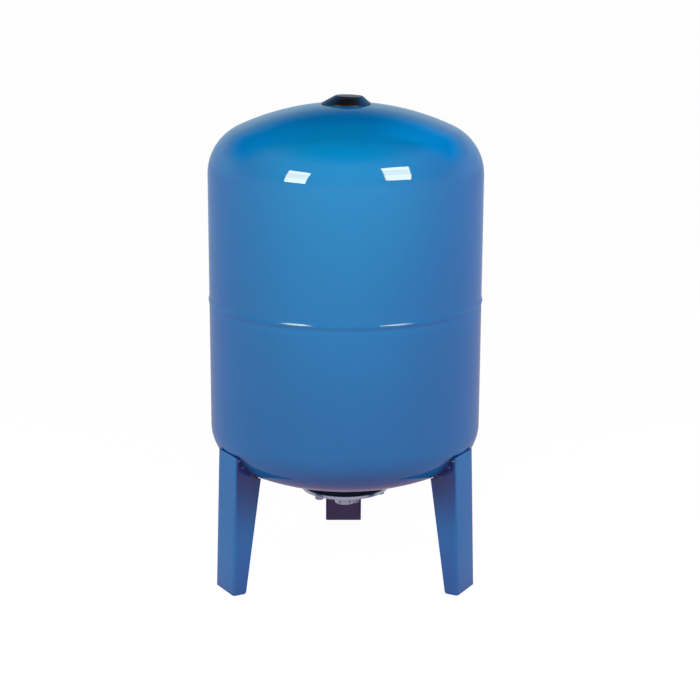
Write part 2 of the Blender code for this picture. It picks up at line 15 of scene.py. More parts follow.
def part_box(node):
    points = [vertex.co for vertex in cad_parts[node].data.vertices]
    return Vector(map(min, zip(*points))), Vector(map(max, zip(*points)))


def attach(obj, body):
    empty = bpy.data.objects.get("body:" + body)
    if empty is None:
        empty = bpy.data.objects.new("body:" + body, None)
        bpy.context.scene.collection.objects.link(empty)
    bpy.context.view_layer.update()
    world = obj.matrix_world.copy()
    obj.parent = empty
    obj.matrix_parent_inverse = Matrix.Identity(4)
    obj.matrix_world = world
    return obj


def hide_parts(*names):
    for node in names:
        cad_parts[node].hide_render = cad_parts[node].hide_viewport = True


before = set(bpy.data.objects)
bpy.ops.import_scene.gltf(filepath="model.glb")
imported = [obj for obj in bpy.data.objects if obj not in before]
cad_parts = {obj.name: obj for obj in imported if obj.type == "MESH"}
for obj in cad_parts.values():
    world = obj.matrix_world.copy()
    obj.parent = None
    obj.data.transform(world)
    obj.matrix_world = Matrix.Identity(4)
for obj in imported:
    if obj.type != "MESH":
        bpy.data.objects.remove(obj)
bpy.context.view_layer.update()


# Gloss blue enamel: sprayed on the welded tank and stoved, with a hard glossy skin over the blue.
# It lies slightly unevenly, with the faint grain of the spray.
ENAMEL_THIN = (0.0015, 0.2600, 0.6150, 1.0)
ENAMEL_THICK = (0.0015, 0.2450, 0.5950, 1.0)
FINISH_INPUTS = (("First Color", "Color"), ("Second Color", "Color"), ("Cloud Scale", "Float"),
                 ("Grain Scale", "Float"), ("Smoothest", "Float"), ("Roughest", "Float"))
FINISH_OUTPUTS = (("Color", "Color"), ("Roughness", "Float"), ("Height", "Float"))


def add_node(tree, kind, inputs=None, **settings):
    """Adds a node with its settings; its inputs are given as values or as sockets to link."""
    node = tree.nodes.new(kind)
    for name, value in settings.items():
        setattr(node, name, value)
    for name, value in (inputs or {}).items():
        if isinstance(value, bpy.types.NodeSocket):
            tree.links.new(value, node.inputs[name])
        else:
            node.inputs[name].default_value = value
    return node


def made(tree, kind, inputs=None, **settings):
    """The first output of a new node."""
    return add_node(tree, kind, inputs, **settings).outputs[0]


def calc(tree, operation, first, second=0.0):
    return made(tree, "ShaderNodeMath", {0: first, 1: second}, operation=operation)


def mix_colour(tree, factor, first, second):
    mixed = add_node(tree, "ShaderNodeMix", {0: factor, 6: first, 7: second}, data_type="RGBA")
    return mixed.outputs[2]


def open_group(name, kind, inputs, outputs):
    """A node group with named sockets, and its input and output nodes."""
    group = bpy.data.node_groups.new(name, kind)
    for direction, sockets in (("INPUT", inputs), ("OUTPUT", outputs)):
        for label, form in sockets:
            group.interface.new_socket(label, in_out=direction, socket_type="NodeSocket" + form)
    return group, group.nodes.new("NodeGroupInput").outputs, group.nodes.new("NodeGroupOutput").inputs


def uneven_finish_group():
    """Colour, roughness and height of a finish that varies in clouds and has a fine grain."""
    group, given, result = open_group("uneven_finish", "ShaderNodeTree", FINISH_INPUTS,
                                      FINISH_OUTPUTS)
    place = add_node(group, "ShaderNodeTexCoord").outputs["Object"]
    cloud = made(group, "ShaderNodeTexNoise", {
        "Vector": place, "Scale": given["Cloud Scale"], "Detail": 3.0})
    share = made(group, "ShaderNodeMapRange", {"Value": cloud, "From Min": 0.35, "From Max": 0.65})
    grain = made(group, "ShaderNodeTexNoise", {
        "Vector": place, "Scale": given["Grain Scale"], "Detail": 2.0})
    roughness = made(group, "ShaderNodeMapRange", {
        "Value": grain, "From Min": 0.3, "From Max": 0.7, "To Min": given["Smoothest"],
        "To Max": given["Roughest"]})
    colour = mix_colour(group, share, given["First Color"], given["Second Color"])
    for label, value in (("Color", colour), ("Roughness", roughness), ("Height", grain)):
        group.links.new(value, result[label])
    return group


UNEVEN_FINISH = uneven_finish_group()


def make_finish(name, colours, clouds, grain, rough, bump, group=UNEVEN_FINISH, more=None,
                **shader_values):
    """A material of two colours mixed in clouds, with a grain and two bounds of roughness. bump is
    in metres, and more holds the inputs that a group has beside those of the uneven finish."""
    material = bpy.data.materials.new(name)
    material.use_nodes = True
    tree = material.node_tree
    shader = tree.nodes["Principled BSDF"]
    varied = add_node(tree, "ShaderNodeGroup", {
        "First Color": colours[0], "Second Color": colours[1], "Cloud Scale": clouds,
        "Grain Scale": grain, "Smoothest": rough[0], "Roughest": rough[1], **(more or {})},
        node_tree=group).outputs
    relief = add_node(tree, "ShaderNodeBump", {
        "Height": varied["Height"], "Distance": bump, "Strength": 1.0})
    tree.links.new(varied["Color"], shader.inputs["Base Color"])
    tree.links.new(varied["Roughness"], shader.inputs["Roughness"])
    tree.links.new(relief.outputs["Normal"], shader.inputs["Normal"])
    for label, value in shader_values.items():
        shader.inputs[label.replace("_", " ")].default_value = value
    return material


def make_enamel(name, group=UNEVEN_FINISH, more=None):
    return make_finish(
        name, (ENAMEL_THIN, ENAMEL_THICK), clouds=6.0, grain=420.0, rough=(0.46, 0.56), bump=0.00002,
        group=group, more=more, Specular_IOR_Level=0.0, Coat_Weight=1.0, Coat_Roughness=0.03,
        Coat_IOR=1.9)


blue_enamel = make_enamel("blue_enamel")


# Upper half shell: a deep drawn steel cap with the air valve's pocket pressed into its crown. Its
# skirt slips over the lower shell's rim. The drawing leaves long, very shallow waves in the sheet.
SHELL_SIDES = 192
SHELL_WALL = 0.0015
FIT_GAP = 0.0003
DOME_CROWN = 0.420
DOME_KNUCKLE = 0.083
POCKET_RADIUS = 0.028
POCKET_LIP = 0.003
POCKET_CORNER = 0.002
VALVE_HOLE = 0.0055
SHEET_WAVE = 0.00012
SHEET_WAVE_SCALE = 9.0
UPPER_WALL_STEPS = 20
HEAD_STEPS = 22
upper_low, upper_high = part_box("upper_shell")
tank_radius = upper_high.x
skirt_end = upper_low.z
lip_radius = POCKET_RADIUS + POCKET_LIP
dome_top = upper_high.z + DOME_CROWN - sqrt(DOME_CROWN**2 - lip_radius**2)
pocket_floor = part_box("valve_washer")[0].z - FIT_GAP


def arc(centre, radius, start, end, steps):
    """Points (r, z) of a circular arc, with its angles in degrees."""
    points = []
    for step in range(steps + 1):
        angle = radians(start + (end - start) * step / steps)
        points.append((centre[0] + radius * cos(angle), centre[1] + radius * sin(angle)))
    return points


def product(tree, first, *others):
    for other in others:
        first = calc(tree, "MULTIPLY", first, other)
    return first


def vector_calc(tree, operation, first, second=None, output="Vector"):
    inputs = {0: first} if second is None else {0: first, 1: second}
    return add_node(tree, "ShaderNodeVectorMath", inputs, operation=operation).outputs[output]


def scaled(tree, vector, share):
    return made(tree, "ShaderNodeVectorMath", {0: vector, "Scale": share}, operation="SCALE")


def level_part(tree, vector):
    """A vector without its height."""
    return vector_calc(tree, "MULTIPLY", vector, (1.0, 1.0, 0.0))


def xyz(tree, vector):
    return add_node(tree, "ShaderNodeSeparateXYZ", {"Vector": vector}).outputs


def swing(tree, inputs, **settings):
    """Noise about zero."""
    return calc(tree, "SUBTRACT", made(tree, "ShaderNodeTexNoise", inputs, **settings), 0.5)


def open_shape_tree(name, numbers, counts=()):
    """A tree that takes a shape, whole counts, numbers and a finish, and gives a shape."""
    sockets = [("Geometry", "Geometry")] + [(label, "Int") for label in counts]
    sockets += [(label, "Float") for label in numbers] + [("Finish", "Material")]
    return open_group(name, "GeometryNodeTree", sockets, sockets[:1])


def close_shape_tree(tree, shape, given, result):
    """Ends a tree with real geometry and the finish on it."""
    whole = made(tree, "GeometryNodeRealizeInstances", {"Geometry": shape})
    painted = made(tree, "GeometryNodeSetMaterial", {"Geometry": whole, "Material": given["Finish"]})
    tree.links.new(painted, result["Geometry"])
    return tree


def push_out(tree, shape, level, reach):
    """Moves a shape away from the Z axis, along the level part of its points' positions."""
    offset = scaled(tree, vector_calc(tree, "NORMALIZE", level), reach)
    return made(tree, "GeometryNodeSetPosition", {"Geometry": shape, "Offset": offset})


def turned_section_tree():
    """Turns a half section, a row of points in the XZ plane, about the Z axis."""
    tree, given, result = open_shape_tree("turned_section", (), counts=("Sides",))
    rows = made(tree, "GeometryNodeAttributeDomainSize", {"Geometry": given["Geometry"]})
    columns = calc(tree, "ADD", given["Sides"], 1.0)
    grid = made(tree, "GeometryNodeMeshGrid", {"Vertices X": columns, "Vertices Y": rows})
    index = made(tree, "GeometryNodeInputIndex")
    column = calc(tree, "FLOOR", calc(tree, "DIVIDE", index, rows))
    angle = calc(tree, "DIVIDE", product(tree, column, 2 * pi), given["Sides"])
    point = made(tree, "GeometryNodeSampleIndex", {
        "Geometry": given["Geometry"], "Value": made(tree, "GeometryNodeInputPosition"),
        "Index": calc(tree, "MODULO", index, rows)}, data_type="FLOAT_VECTOR")
    half_section = xyz(tree, point)
    place = made(tree, "ShaderNodeCombineXYZ", {
        "X": product(tree, half_section["X"], calc(tree, "COSINE", angle)),
        "Y": product(tree, half_section["X"], calc(tree, "SINE", angle)), "Z": half_section["Z"]})
    turned = made(tree, "GeometryNodeSetPosition", {"Geometry": grid, "Position": place})
    closed = made(tree, "GeometryNodeMergeByDistance", {"Geometry": turned, "Distance": 0.000001})
    return close_shape_tree(tree, closed, given, result)


def wavy_sheet_tree():
    """Moves a skin in and out by long waves, the same on both its faces."""
    tree, given, result = open_shape_tree("wavy_sheet", ("Height", "Scale", "Seed"))
    spot = made(tree, "GeometryNodeInputPosition")
    wave = swing(tree, {"Vector": spot, "W": given["Seed"], "Scale": given["Scale"], "Detail": 1.0},
                 noise_dimensions="4D")
    moved = push_out(tree, given["Geometry"], level_part(tree, spot),
                     product(tree, wave, given["Height"]))
    return close_shape_tree(tree, moved, given, result)


TURNED_SECTION = turned_section_tree()
WAVY_SHEET = wavy_sheet_tree()


def start_piece(name, points, faces=()):
    """A draft object that the steps of a piece are put on."""
    mesh = bpy.data.meshes.new(name)
    mesh.from_pydata(points, [], faces)
    draft = bpy.data.objects.new(name, mesh)
    bpy.context.scene.collection.objects.link(draft)
    return draft


def add_tree(draft, tree, values):
    """Puts a Geometry Nodes tree on a draft, with its inputs given by their names."""
    modifier = draft.modifiers.new(tree.name, "NODES")
    modifier.node_group = tree
    for socket in tree.interface.items_tree:
        if socket.in_out == "INPUT" and socket.name in values:
            modifier[socket.identifier] = values[socket.name]


def keep_piece(draft, nodes, sharp_angle=32.0):
    """Turns a draft and its steps into a plain mesh, and puts it on the tank for its CAD nodes."""
    graph = bpy.context.evaluated_depsgraph_get()
    finished = bpy.data.meshes.new_from_object(draft.evaluated_get(graph))
    draft.modifiers.clear()
    skin = bmesh.new()
    skin.from_mesh(finished)
    bmesh.ops.remove_doubles(skin, verts=skin.verts, dist=0.0000005)
    bmesh.ops.recalc_face_normals(skin, faces=skin.faces)
    skin.to_mesh(finished)
    skin.free()
    finished.shade_smooth()
    finished.set_sharp_from_angle(angle=radians(sharp_angle))
    draft.data = finished
    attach(draft, "root")
    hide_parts(*nodes)


def start_turned(name, section, sides, finish):
    """A draft turned from the (r, z) points of a half section, closed or from axis to axis."""
    draft = start_piece(name, [(radius, 0.0, height) for radius, height in section])
    add_tree(draft, TURNED_SECTION, {"Sides": sides, "Finish": finish})
    return draft


class HeadForm:
    """A dished end: a crown about the axis and a knuckle that meets the cylinder. side is 1 for
    the dome, whose crown is on top, and -1 for the dish."""

    def __init__(self, apex, crown, knuckle, side):
        self.crown = crown
        self.knuckle = knuckle
        self.side = side
        self.knuckle_radius = tank_radius - knuckle
        self.crown_z = apex - side * crown
        self.join = acos(self.knuckle_radius / (crown - knuckle))
        self.tangent_z = self.crown_z + side * sin(self.join) * (crown - knuckle)

    def height(self, radius, offset=0.0):
        """Height of the surface at a radius, offset outwards along its normal."""
        crown = self.crown + offset
        if radius <= crown * cos(self.join):
            return self.crown_z + self.side * sqrt(crown**2 - radius**2)
        knuckle = self.knuckle + offset
        reach = min(knuckle, radius - self.knuckle_radius)
        return self.tangent_z + self.side * sqrt(knuckle**2 - reach**2)

    def section(self, start, offset=0.0):
        """Points from a radius on the crown out to the cylinder."""
        crown = self.crown + offset
        first = degrees(acos(start / crown))
        join = degrees(self.join)
        points = arc((0.0, 0.0), crown, first, join, HEAD_STEPS)
        points = [(r, self.crown_z + self.side * z) for r, z in points]
        bend = arc((self.knuckle_radius, 0.0), self.knuckle + offset, join, 0.0, HEAD_STEPS)
        return points + [(r, self.tangent_z + self.side * z) for r, z in bend[1:]]


def straight(first, last, steps):
    """Points between two points, without the two."""
    return [tuple(a + (b - a) * step / steps for a, b in zip(first, last)) for step in range(1, steps)]


def form_half_shell(name, section, wave_seed, finish, node):
    shell = start_turned(name, section, SHELL_SIDES, finish)
    add_tree(shell, WAVY_SHEET, {
        "Height": SHEET_WAVE, "Scale": SHEET_WAVE_SCALE, "Seed": wave_seed, "Finish": finish})
    keep_piece(shell, [node])


dome = HeadForm(dome_top, DOME_CROWN, DOME_KNUCKLE, 1)
lip_centre = (lip_radius, dome.height(lip_radius) - POCKET_LIP)
corner = (POCKET_RADIUS - POCKET_CORNER, pocket_floor + POCKET_CORNER)
inner_wall = tank_radius - SHELL_WALL
upper_section = [(VALVE_HOLE, pocket_floor)]
upper_section += arc(corner, POCKET_CORNER, -90, 0, 4) + arc(lip_centre, POCKET_LIP, 180, 90, 6)
upper_section += dome.section(lip_radius)[1:]
upper_section += straight((tank_radius, dome.tangent_z), (tank_radius, skirt_end), UPPER_WALL_STEPS)
upper_section += [(tank_radius, skirt_end), (inner_wall, skirt_end)]
upper_section += straight((inner_wall, skirt_end), (inner_wall, dome.tangent_z), UPPER_WALL_STEPS)
upper_section += reversed(dome.section(lip_radius, -SHELL_WALL)[1:])
upper_section += arc(lip_centre, POCKET_LIP - SHELL_WALL, 90, 180, 6)
upper_section += arc(corner, POCKET_CORNER + SHELL_WALL, 0, -90, 4)
upper_section += [(VALVE_HOLE, pocket_floor - SHELL_WALL), upper_section[0]]
form_half_shell("upper_half_shell", upper_section, 3.0, blue_enamel, "upper_shell")


# Lower half shell: the same steel, drawn to a flatter dish with the neck opening at its centre.
# Its rim is joggled inwards, so that it slips inside the upper shell, and that lap is welded.
# Where the legs meet the dish, a dark violet painted shade stands for the shade between them.
DISH_CROWN = 0.435
DISH_KNUCKLE = 0.070
NECK_OPENING = 0.048
JOGGLE_LENGTH = 0.004
LOWER_WALL_STEPS = 18
LEG_SPACING = radians(120.0)
LEG_WIDTH = 0.064
LEG_TOP_RADIUS = tank_radius - 0.002
LEG_TOP_DEPTH = 0.051
PAINTED_SHADE_UNDER_WEB = (LEG_TOP_RADIUS - 0.0030, LEG_TOP_RADIUS - 0.0052)
PAINTED_SHADE_BESIDE = 0.035
PAINTED_SHADE_TOP = (0.241, 0.236)
# Painted shade: the dark violet that the dish takes over the legs' tops stands for the shade there.
DISH_SHADE_COLOR = (0.048, 0.052, 0.170, 1.0)
lower_low, lower_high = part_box("lower_shell")
dish_bottom = lower_low.z - DISH_CROWN + sqrt(DISH_CROWN**2 - NECK_OPENING**2)
lap_end = lower_high.z
lap_start = skirt_end - FIT_GAP
joggle_start = lap_start - JOGGLE_LENGTH
lap_radius = inner_wall - FIT_GAP
dish = HeadForm(dish_bottom, DISH_CROWN, DISH_KNUCKLE, -1)
lower_section = dish.section(NECK_OPENING)
lower_section += straight(lower_section[-1], (tank_radius, joggle_start), LOWER_WALL_STEPS)
lower_section += [(tank_radius, joggle_start), (lap_radius, lap_start), (lap_radius, lap_end),
                  (lap_radius - SHELL_WALL, lap_end), (lap_radius - SHELL_WALL, lap_start),
                  (inner_wall, joggle_start)]
lower_section += straight((inner_wall, joggle_start), (inner_wall, dish.tangent_z), LOWER_WALL_STEPS)
lower_section += reversed(dish.section(NECK_OPENING, -SHELL_WALL))
lower_section.append(lower_section[0])


def eased(tree, value, start, end):
    """A smooth share, 0 at start and 1 at end, which may lie below start."""
    return made(tree, "ShaderNodeMapRange", {"Value": value, "From Min": start, "From Max": end},
                interpolation_type="SMOOTHSTEP")


def painted_shade_finish_group(name, shade_share, *numbers):
    """The uneven finish, mixed with a painted shade colour by the share that a mask gives."""
    inputs = (("Painted Shade Color", "Color"),) + tuple((label, "Float") for label in numbers)
    group, given, result = open_group(name, "ShaderNodeTree", FINISH_INPUTS + inputs, FINISH_OUTPUTS)
    finish = add_node(group, "ShaderNodeGroup", {label: given[label] for label, _ in FINISH_INPUTS},
                      node_tree=UNEVEN_FINISH).outputs
    colour = mix_colour(group, shade_share(group, given), finish["Color"], given["Painted Shade Color"])
    group.links.new(colour, result["Color"])
    for label in ("Roughness", "Height"):
        group.links.new(finish[label], result[label])
    return group


def leg_footprint_shade_share(tree, given):
    """Painted shade mask: 1 on the dish over each leg's channel, uneven and soft at the edge of the leg.
    """
    place = add_node(tree, "ShaderNodeTexCoord").outputs["Object"]
    spot = xyz(tree, place)
    from_axis = vector_calc(tree, "LENGTH", level_part(tree, place), output="Value")
    angle = calc(tree, "ARCTAN2", spot["X"], product(tree, spot["Y"], -1.0))
    turn = calc(tree, "SUBTRACT", calc(tree, "FLOORED_MODULO", angle, LEG_SPACING), LEG_SPACING / 2)
    uneven = product(tree, swing(tree, {
        "Vector": place, "Scale": given["Edge Scale"], "Detail": 2.0}), given["Edge Unevenness"])
    outward = calc(tree, "ADD", product(tree, from_axis, calc(tree, "COSINE", turn)), uneven)
    aside = calc(tree, "ABSOLUTE", product(tree, from_axis, calc(tree, "SINE", turn)))
    flange_edge = LEG_TOP_RADIUS - LEG_TOP_DEPTH
    return product(tree, eased(tree, outward, *PAINTED_SHADE_UNDER_WEB),
                   eased(tree, outward, flange_edge - PAINTED_SHADE_BESIDE, flange_edge),
                   eased(tree, aside, LEG_WIDTH / 2 + PAINTED_SHADE_BESIDE, LEG_WIDTH / 2),
                   eased(tree, spot["Z"], *PAINTED_SHADE_TOP))


dish_shade_finish = painted_shade_finish_group("painted_shade_at_legs", leg_footprint_shade_share, "Edge Scale", "Edge Unevenness")
# The dish's enamel, with painted shade over each leg's top.
dish_enamel_painted_shade = make_enamel("dish_enamel_painted_shade", dish_shade_finish, {
    "Painted Shade Color": DISH_SHADE_COLOR, "Edge Scale": 110.0, "Edge Unevenness": 0.006})
form_half_shell("lower_half_shell", lower_section, 8.0, dish_enamel_painted_shade, "lower_shell")


# Seam weld: one machine laid bead round the lap joint, under the enamel. It is smooth and rounded,
# with faint ripples across it where the arc moved on, and it wanders a little in width.
BEAD_RIPPLES = 300.0
RIPPLE_SHARE = 0.045
RIPPLE_BOW = 0.35
BEAD_WANDER = 0.30
WANDER_SCALE = 22.0
BEAD_SIDES = 1800
BEAD_RISE = 0.0014
BEAD_FORM = ((-0.97, 0.03), (-0.85, 0.12), (-0.70, 0.32), (-0.55, 0.57), (-0.42, 0.79),
             (-0.31, 0.93), (-0.22, 0.99), (-0.14, 1.00), (-0.07, 0.95), (0.00, 0.84), (0.08, 0.68),
             (0.16, 0.52), (0.24, 0.37), (0.32, 0.25), (0.42, 0.16), (0.56, 0.09), (0.75, 0.04),
             (1.00, 0.0))
bead_low, bead_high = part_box("seam_weld")
bead_root = tank_radius - FIT_GAP
bead_middle = (bead_low.z + bead_high.z) / 2
bead_half = (bead_high.z - bead_low.z) / 2


def weld_ripples_tree():
    """Lifts a turned bead's crest by ripples and by a slow wander round its length."""
    tree, given, result = open_shape_tree("weld_ripples", (
        "Inner Radius", "Rise", "Middle", "Ripples", "Ripple Share", "Bow", "Wander", "Wander Scale",
        "Seed"))
    spot = made(tree, "GeometryNodeInputPosition")
    parts = xyz(tree, spot)
    level = level_part(tree, spot)
    radius = vector_calc(tree, "LENGTH", level, output="Value")
    proud = calc(tree, "DIVIDE", calc(tree, "SUBTRACT", radius, given["Inner Radius"]), given["Rise"])
    above = calc(tree, "DIVIDE", calc(tree, "SUBTRACT", parts["Z"], given["Middle"]), given["Rise"])
    angle = calc(tree, "ARCTAN2", parts["Y"], parts["X"])
    wave = calc(tree, "SINE", calc(tree, "ADD", product(tree, angle, given["Ripples"]),
                                   product(tree, above, above, given["Bow"])))
    slow = swing(tree, {"Vector": spot, "W": given["Seed"], "Scale": given["Wander Scale"],
                        "Detail": 2.0}, noise_dimensions="4D")
    lift = calc(tree, "ADD", product(tree, wave, given["Ripple Share"]),
                product(tree, slow, given["Wander"]))
    moved = push_out(tree, given["Geometry"], level, product(tree, lift, proud, given["Rise"]))
    return close_shape_tree(tree, moved, given, result)


bead_section = [(bead_root, bead_middle - bead_half), (tank_radius, bead_middle - bead_half)]
for share, rise in BEAD_FORM:
    bead_section.append((tank_radius + BEAD_RISE * rise, bead_middle + bead_half * share))
bead_section += [(bead_root, bead_middle + bead_half), bead_section[0]]
seam_bead = start_turned("seam_bead", bead_section, BEAD_SIDES, blue_enamel)
add_tree(seam_bead, weld_ripples_tree(), {
    "Inner Radius": tank_radius, "Rise": BEAD_RISE, "Middle": bead_middle, "Ripples": BEAD_RIPPLES,
    "Ripple Share": RIPPLE_SHARE, "Bow": RIPPLE_BOW, "Wander": BEAD_WANDER,
    "Wander Scale": WANDER_SCALE, "Seed": 5.0, "Finish": blue_enamel})
keep_piece(seam_bead, ["seam_weld"], sharp_angle=60.0)


# Neck ring: a thick turned steel ring welded under the dish round the neck opening, with six
# tapped holes for the flange's bolts. It is sprayed with the tank and lies in the dish's shadow.
NECK_SIDES = 144
RING_EDGE = 0.0006
RING_SEAT_STEPS = 12
COLLAR_WALL = 0.002
BOLT_COUNT = 6
BOLT_FIRST_ANGLE = 15.0
BOLT_RADIUS = 0.004
BOLT_EDGE_DISTANCE = 0.007
DRILL_SIDES = 32
DRILL_OVERRUN = 0.01
ring_low, ring_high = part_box("neck_ring")
ring_radius = ring_high.x
ring_collar = NECK_OPENING - FIT_GAP
ring_bore = ring_collar - COLLAR_WALL
bolt_circle = ring_radius - BOLT_EDGE_DISTANCE


def keep_drilled(draft, nodes, hole_radius, low, high):
    """Cuts the six bolt holes through a draft and keeps it."""
    drills = bmesh.new()
    for index in range(BOLT_COUNT):
        angle = radians(BOLT_FIRST_ANGLE + 360.0 * index / BOLT_COUNT)
        centre = (sin(angle) * bolt_circle, -cos(angle) * bolt_circle, (low + high) / 2)
        bmesh.ops.create_cone(
            drills, cap_ends=True, segments=DRILL_SIDES, radius1=hole_radius, radius2=hole_radius,
            depth=high - low + 2 * DRILL_OVERRUN, matrix=Matrix.Translation(centre))
    cutter = start_piece(draft.name + "_drill", [])
    drills.to_mesh(cutter.data)
    drills.free()
    draft.modifiers.new("bolt_holes", "BOOLEAN").object = cutter
    keep_piece(draft, nodes)
    bpy.data.objects.remove(cutter)


seat_width = ring_radius - NECK_OPENING - FIT_GAP
seat_radii = [ring_radius - seat_width * step / RING_SEAT_STEPS for step in range(RING_SEAT_STEPS + 1)]
ring_section = [(ring_bore, ring_low.z), (ring_radius - RING_EDGE, ring_low.z),
                (ring_radius, ring_low.z + RING_EDGE)]
ring_section += [(radius, dish.height(radius, FIT_GAP)) for radius in seat_radii + [ring_collar]]
ring_section += [(ring_collar, ring_high.z), (ring_bore, ring_high.z), (ring_bore, ring_low.z)]
neck_ring = start_turned("tapped_neck_ring", ring_section, NECK_SIDES, blue_enamel)
keep_drilled(neck_ring, ["neck_ring"], BOLT_RADIUS + FIT_GAP, ring_low.z, ring_high.z)


# Membrane: a bag of black butyl rubber that holds the water. Only the thick edge of its lip shows,
# a dull black band squeezed between the neck ring and the flange.
RUBBER_WALL = 0.0022
RUBBER_LIP = 0.0044
RUBBER_LIP_EDGE = 0.0004
RUBBER_BEAD_RISE = 0.0042
RUBBER_BEAD_ROUND = 0.0012
BAG_STEPS = 24
BOLT_HOLE_RADIUS = BOLT_RADIUS + 0.0005
bag_low, bag_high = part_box("membrane")
bag_radius = bag_high.x
lip_top_z = bag_low.z + RUBBER_LIP
bead_in = ring_radius + FIT_GAP
bead_out = bead_in + 2 * RUBBER_BEAD_ROUND
bag_neck = ring_bore - FIT_GAP
bag_shoulder = bag_high.z - bag_radius
bag_waist = ring_high.z + bag_radius - bag_neck

black_rubber = make_finish("black_rubber", ((0.012, 0.012, 0.013, 1.0), (0.020, 0.019, 0.019, 1.0)),
                           clouds=60.0, grain=900.0, rough=(0.55, 0.80), bump=0.00006)


def bag_wall(offset):
    """The bag's wall from its crown down to the neck, offset inwards."""
    crown = arc((0.0, bag_shoulder), bag_radius - offset, 90, 0, BAG_STEPS)
    crown[0] = (0.0, crown[0][1])
    skirt = []
    for step in range(1, BAG_STEPS + 1):
        share = step / BAG_STEPS
        flare = (bag_radius - bag_neck) * (1 + cos(pi * share)) / 2
        skirt.append((bag_neck + flare - offset, bag_waist + (ring_high.z - bag_waist) * share))
    return crown + [(bag_radius - offset, bag_waist)] + skirt


bag_section = bag_wall(0.0) + [(bag_neck, lip_top_z), (bead_in, lip_top_z)]
bag_section += arc((bead_in + RUBBER_BEAD_ROUND, lip_top_z + RUBBER_BEAD_RISE - RUBBER_BEAD_ROUND),
                   RUBBER_BEAD_ROUND, 180, 0, 8)
bag_section += [(bead_out, bag_low.z + RUBBER_LIP_EDGE), (bead_out - RUBBER_LIP_EDGE, bag_low.z),
                (bag_neck - RUBBER_WALL, bag_low.z)]
bag_section += reversed(bag_wall(RUBBER_WALL))
membrane = start_turned("rubber_membrane", bag_section, NECK_SIDES, black_rubber)
keep_drilled(membrane, ["membrane"], BOLT_HOLE_RADIUS, bag_low.z, lip_top_z)


# Water flange: a pressed steel plate with its rim turned up round the rubber lip. Its zinc coat is
# bright but uneven, with dull blooms and the fine marks of the press.
FLANGE_PLATE = 0.003
RIM_ROUND = 0.0012
SHOULDER_WIDTH = 0.0044
flange_low, flange_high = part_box("water_flange")
flange_radius = flange_high.x
rim_inner = flange_radius - FLANGE_PLATE
plate_top = flange_low.z + FLANGE_PLATE
nipple_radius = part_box("pipe_nipple")[1].x - SHOULDER_WIDTH

zinc_plate = make_finish("zinc_plate", ((0.88, 0.98, 1.0, 1.0), (0.74, 0.86, 0.92, 1.0)),
                         clouds=70.0, grain=650.0, rough=(0.14, 0.30), bump=0.00008, Metallic=1.0)
flange_section = [(nipple_radius + FIT_GAP, flange_low.z)]
flange_section += arc((rim_inner, plate_top), FLANGE_PLATE, -90, 0, 10)
flange_section += arc((flange_radius - RIM_ROUND, flange_high.z - RIM_ROUND), RIM_ROUND, 0, 90, 6)
flange_section += [(rim_inner, flange_high.z), (rim_inner, plate_top),
                   (nipple_radius + FIT_GAP, plate_top), flange_section[0]]
water_flange = start_turned("pressed_water_flange", flange_section, NECK_SIDES, zinc_plate)
keep_drilled(water_flange, ["water_flange"], BOLT_HOLE_RADIUS, flange_low.z, plate_top)


# Pipe nipple: a turned steel stub with a 1 inch outside pipe thread, eleven turns to the inch,
# pressed into the flange from inside and plated with it. Its end has a small chamfer.
THREAD_PITCH = 0.002309
THREAD_DEPTH = 0.00148
THREAD_RUN = 0.0225
THREAD_STEPS = 150
THREAD_RUN_IN = 1 / 12
THREAD_RUN_OUT = 1 / 6
NIPPLE_SIDES = 96
NIPPLE_WALL = 0.0031
NIPPLE_CHAMFER = 0.001
BORE_CHAMFER = 0.0005
nipple_low, nipple_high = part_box("pipe_nipple")
nipple_bore = nipple_radius - NIPPLE_WALL
shoulder_z = plate_top + FIT_GAP
thread_start = nipple_low.z + NIPPLE_CHAMFER


def cut_thread_tree():
    """Cuts a helical groove into what lies at the barrel's radius, fading out at both its ends."""
    tree, given, result = open_shape_tree("cut_thread", ("Radius", "Pitch", "Depth", "Start", "Run"))
    spot = made(tree, "GeometryNodeInputPosition")
    parts = xyz(tree, spot)
    turn = calc(tree, "DIVIDE", calc(tree, "ARCTAN2", parts["Y"], parts["X"]), 2 * pi)
    rise = calc(tree, "SUBTRACT", parts["Z"], given["Start"])
    tooth = calc(tree, "PINGPONG", calc(
        tree, "SUBTRACT", calc(tree, "DIVIDE", rise, given["Pitch"]), turn), 0.5)
    share = calc(tree, "DIVIDE", rise, given["Run"])
    run_in = product(tree, share, 1 / THREAD_RUN_IN)
    run_out = product(tree, calc(tree, "SUBTRACT", 1.0, share), 1 / THREAD_RUN_OUT)
    full = calc(tree, "MINIMUM", calc(tree, "MINIMUM", run_in, run_out), 1.0)
    level = level_part(tree, spot)
    outside = calc(tree, "GREATER_THAN", vector_calc(tree, "LENGTH", level, output="Value"),
                   calc(tree, "SUBTRACT", given["Radius"], 0.0001))
    depth = product(tree, tooth, -2.0, calc(tree, "MAXIMUM", full, 0.0), outside, given["Depth"])
    return close_shape_tree(tree, push_out(tree, given["Geometry"], level, depth), given, result)


nipple_section = [(nipple_bore, nipple_low.z + BORE_CHAMFER),
                  (nipple_bore + BORE_CHAMFER, nipple_low.z),
                  (nipple_radius - NIPPLE_CHAMFER, nipple_low.z), (nipple_radius, thread_start)]
nipple_section += straight((nipple_radius, thread_start), (nipple_radius, shoulder_z), THREAD_STEPS)
nipple_section += [(nipple_radius, shoulder_z), (nipple_high.x, shoulder_z),
                   (nipple_high.x, nipple_high.z), (nipple_bore, nipple_high.z), nipple_section[0]]
pipe_nipple = start_turned("threaded_pipe_nipple", nipple_section, NIPPLE_SIDES, zinc_plate)
add_tree(pipe_nipple, cut_thread_tree(), {
    "Radius": nipple_radius, "Pitch": THREAD_PITCH, "Depth": THREAD_DEPTH, "Start": thread_start,
    "Run": THREAD_RUN, "Finish": zinc_plate})
keep_piece(pipe_nipple, ["pipe_nipple"], sharp_angle=40.0)


